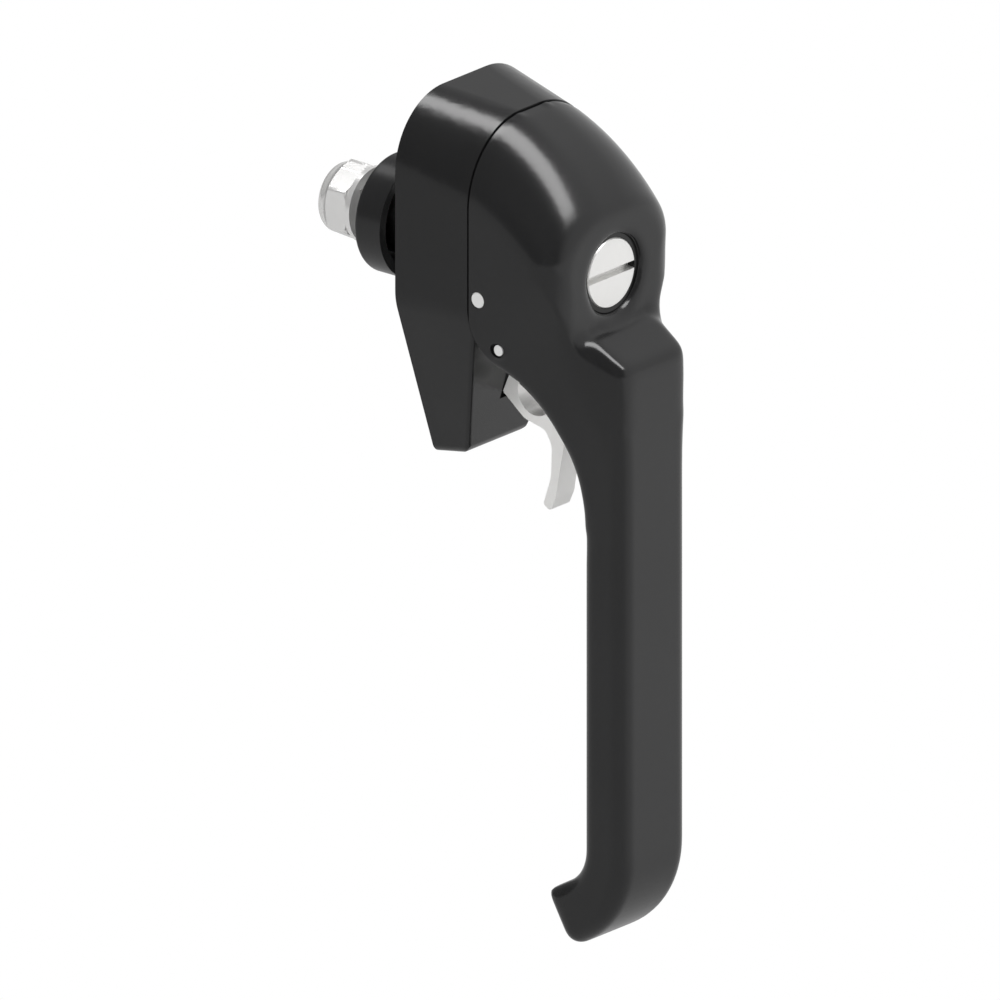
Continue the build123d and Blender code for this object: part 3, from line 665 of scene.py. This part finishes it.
def brightness_across(tree, coordinates, direction, low, high, dark, bright):
    """A brightness that rises along a direction across the studio."""
    place = tree.nodes.new("ShaderNodeTexCoord")
    along = tree.nodes.new("ShaderNodeVectorMath")
    along.operation = "DOT_PRODUCT"
    along.inputs[1].default_value = direction
    tree.links.new(place.outputs[coordinates], along.inputs[0])
    spread = tree.nodes.new("ShaderNodeMapRange")
    spread.interpolation_type = "SMOOTHSTEP"
    spread.inputs["From Min"].default_value = low
    spread.inputs["From Max"].default_value = high
    spread.inputs["To Min"].default_value = dark
    spread.inputs["To Max"].default_value = bright
    tree.links.new(along.outputs["Value"], spread.inputs["Value"])
    return spread.outputs["Result"]


def studio_floor():
    """A wide pale floor below the handle. It looks white to the camera and in reflections."""
    bpy.ops.mesh.primitive_plane_add(size=FLOOR_SIZE, location=(0, 0, FLOOR_HEIGHT))
    floor = bpy.context.object
    floor.name = "studio_floor"
    material = bpy.data.materials.new("floor_white")
    material.use_nodes = True
    tree = material.node_tree
    tree.nodes.clear()
    output = tree.nodes.new("ShaderNodeOutputMaterial")
    diffuse = tree.nodes.new("ShaderNodeBsdfDiffuse")
    diffuse.inputs["Color"].default_value = (0.86, 0.86, 0.86, 1)
    glow = tree.nodes.new("ShaderNodeEmission")
    glow.inputs["Strength"].default_value = 1.0
    # Reflections see the floor brighter in front and to the right, as the photo's do.
    mirrored = tree.nodes.new("ShaderNodeEmission")
    floor_light = brightness_across(
        tree, "Object", direction=(0.75, -0.66, 0.0), low=0.0, high=0.8, dark=0.55, bright=0.95
    )
    tree.links.new(floor_light, mirrored.inputs["Strength"])
    path = tree.nodes.new("ShaderNodeLightPath")
    first = tree.nodes.new("ShaderNodeMixShader")
    tree.links.new(path.outputs["Is Glossy Ray"], first.inputs["Fac"])
    tree.links.new(diffuse.outputs["BSDF"], first.inputs[1])
    tree.links.new(mirrored.outputs["Emission"], first.inputs[2])
    mix = tree.nodes.new("ShaderNodeMixShader")
    tree.links.new(path.outputs["Is Camera Ray"], mix.inputs["Fac"])
    tree.links.new(first.outputs["Shader"], mix.inputs[1])
    tree.links.new(glow.outputs["Emission"], mix.inputs[2])
    tree.links.new(mix.outputs["Shader"], output.inputs["Surface"])
    floor.data.materials.append(material)


def studio_surround():
    """A surround that is white to the camera and brighter on one side in reflections."""
    world = bpy.data.worlds.new("studio_surround")
    scene.world = world
    world.use_nodes = True
    tree = world.node_tree
    tree.nodes.clear()
    output = tree.nodes.new("ShaderNodeOutputWorld")
    seen = tree.nodes.new("ShaderNodeBackground")
    seen.inputs["Color"].default_value = (1, 1, 1, 1)
    seen.inputs["Strength"].default_value = 1.0
    around = tree.nodes.new("ShaderNodeBackground")
    around.inputs["Color"].default_value = (1, 1, 1, 1)
    wall_light = brightness_across(
        tree, "Generated", direction=(0.85, -0.5, 0.0), low=0.0, high=0.7, dark=0.2, bright=0.85
    )
    tree.links.new(wall_light, around.inputs["Strength"])
    path = tree.nodes.new("ShaderNodeLightPath")
    mix = tree.nodes.new("ShaderNodeMixShader")
    tree.links.new(path.outputs["Is Camera Ray"], mix.inputs["Fac"])
    tree.links.new(around.outputs["Background"], mix.inputs[1])
    tree.links.new(seen.outputs["Background"], mix.inputs[2])
    tree.links.new(mix.outputs["Shader"], output.inputs["Surface"])


def soft_box(name, direction, distance, size, power):
    """A rectangular lamp in a direction from the head, aimed at it."""
    away = Vector(direction).normalized()
    light = bpy.data.lights.new(name, "AREA")
    light.shape = "RECTANGLE"
    light.size, light.size_y = size
    light.energy = power
    lamp = bpy.data.objects.new(name, light)
    scene.collection.objects.link(lamp)
    lamp.location = LAMP_TARGET + away * distance
    # The lamp's width lies across, along X, and its length from front to back.
    across = (Vector((1, 0, 0)) - away * away.x).normalized()
    lamp.rotation_mode = "QUATERNION"
    lamp.rotation_quaternion = Matrix((across, away.cross(across), away)).transposed().to_quaternion()
    return lamp


studio_floor()
studio_surround()
soft_box("long_box", direction=(0.09, -0.08, 1.0), distance=1.1, size=(0.42, 1.75), power=20.0)
# This one lights only matt surfaces, so that the black coat doesn't mirror it.
fill_box = soft_box("fill_box", direction=(-0.8, -0.35, 0.25), distance=1.5, size=(1.0, 1.0), power=13.0)
fill_box.visible_glossy = False


# Camera: the photo is nearly without perspective, so the view is a parallel one

PHOTO_SIDE = 1000
PIXELS_PER_MM = 5.66
# Where the photo shows the frame's origin, in pixels from its left and its top
ORIGIN_LEFT = 464.7
ORIGIN_TOP = 230.8
VIEW_RIGHT = Vector((0.6428, -0.7660, 0.0))
VIEW_UP = Vector((0.2620, 0.2198, 0.9397))
CAMERA_DISTANCE = 0.8


def photo_camera():
    """A parallel camera with the frame's origin where the photo has it."""
    back = VIEW_RIGHT.cross(VIEW_UP)
    aim_right = (PHOTO_SIDE / 2 - ORIGIN_LEFT) / PIXELS_PER_MM * MM
    aim_up = -(PHOTO_SIDE / 2 - ORIGIN_TOP) / PIXELS_PER_MM * MM
    aim = VIEW_RIGHT * aim_right + VIEW_UP * aim_up
    lens = bpy.data.cameras.new("photo_camera")
    lens.type = "ORTHO"
    lens.ortho_scale = PHOTO_SIDE / PIXELS_PER_MM * MM
    lens.clip_start = 0.01
    lens.clip_end = 20
    camera = bpy.data.objects.new("photo_camera", lens)
    scene.collection.objects.link(camera)
    turn = Matrix((VIEW_RIGHT, VIEW_UP, back)).transposed().to_quaternion()
    camera.matrix_world = Matrix.LocRotScale(aim + back * CAMERA_DISTANCE, turn, None)
    return camera


bpy.context.scene.camera = photo_camera()
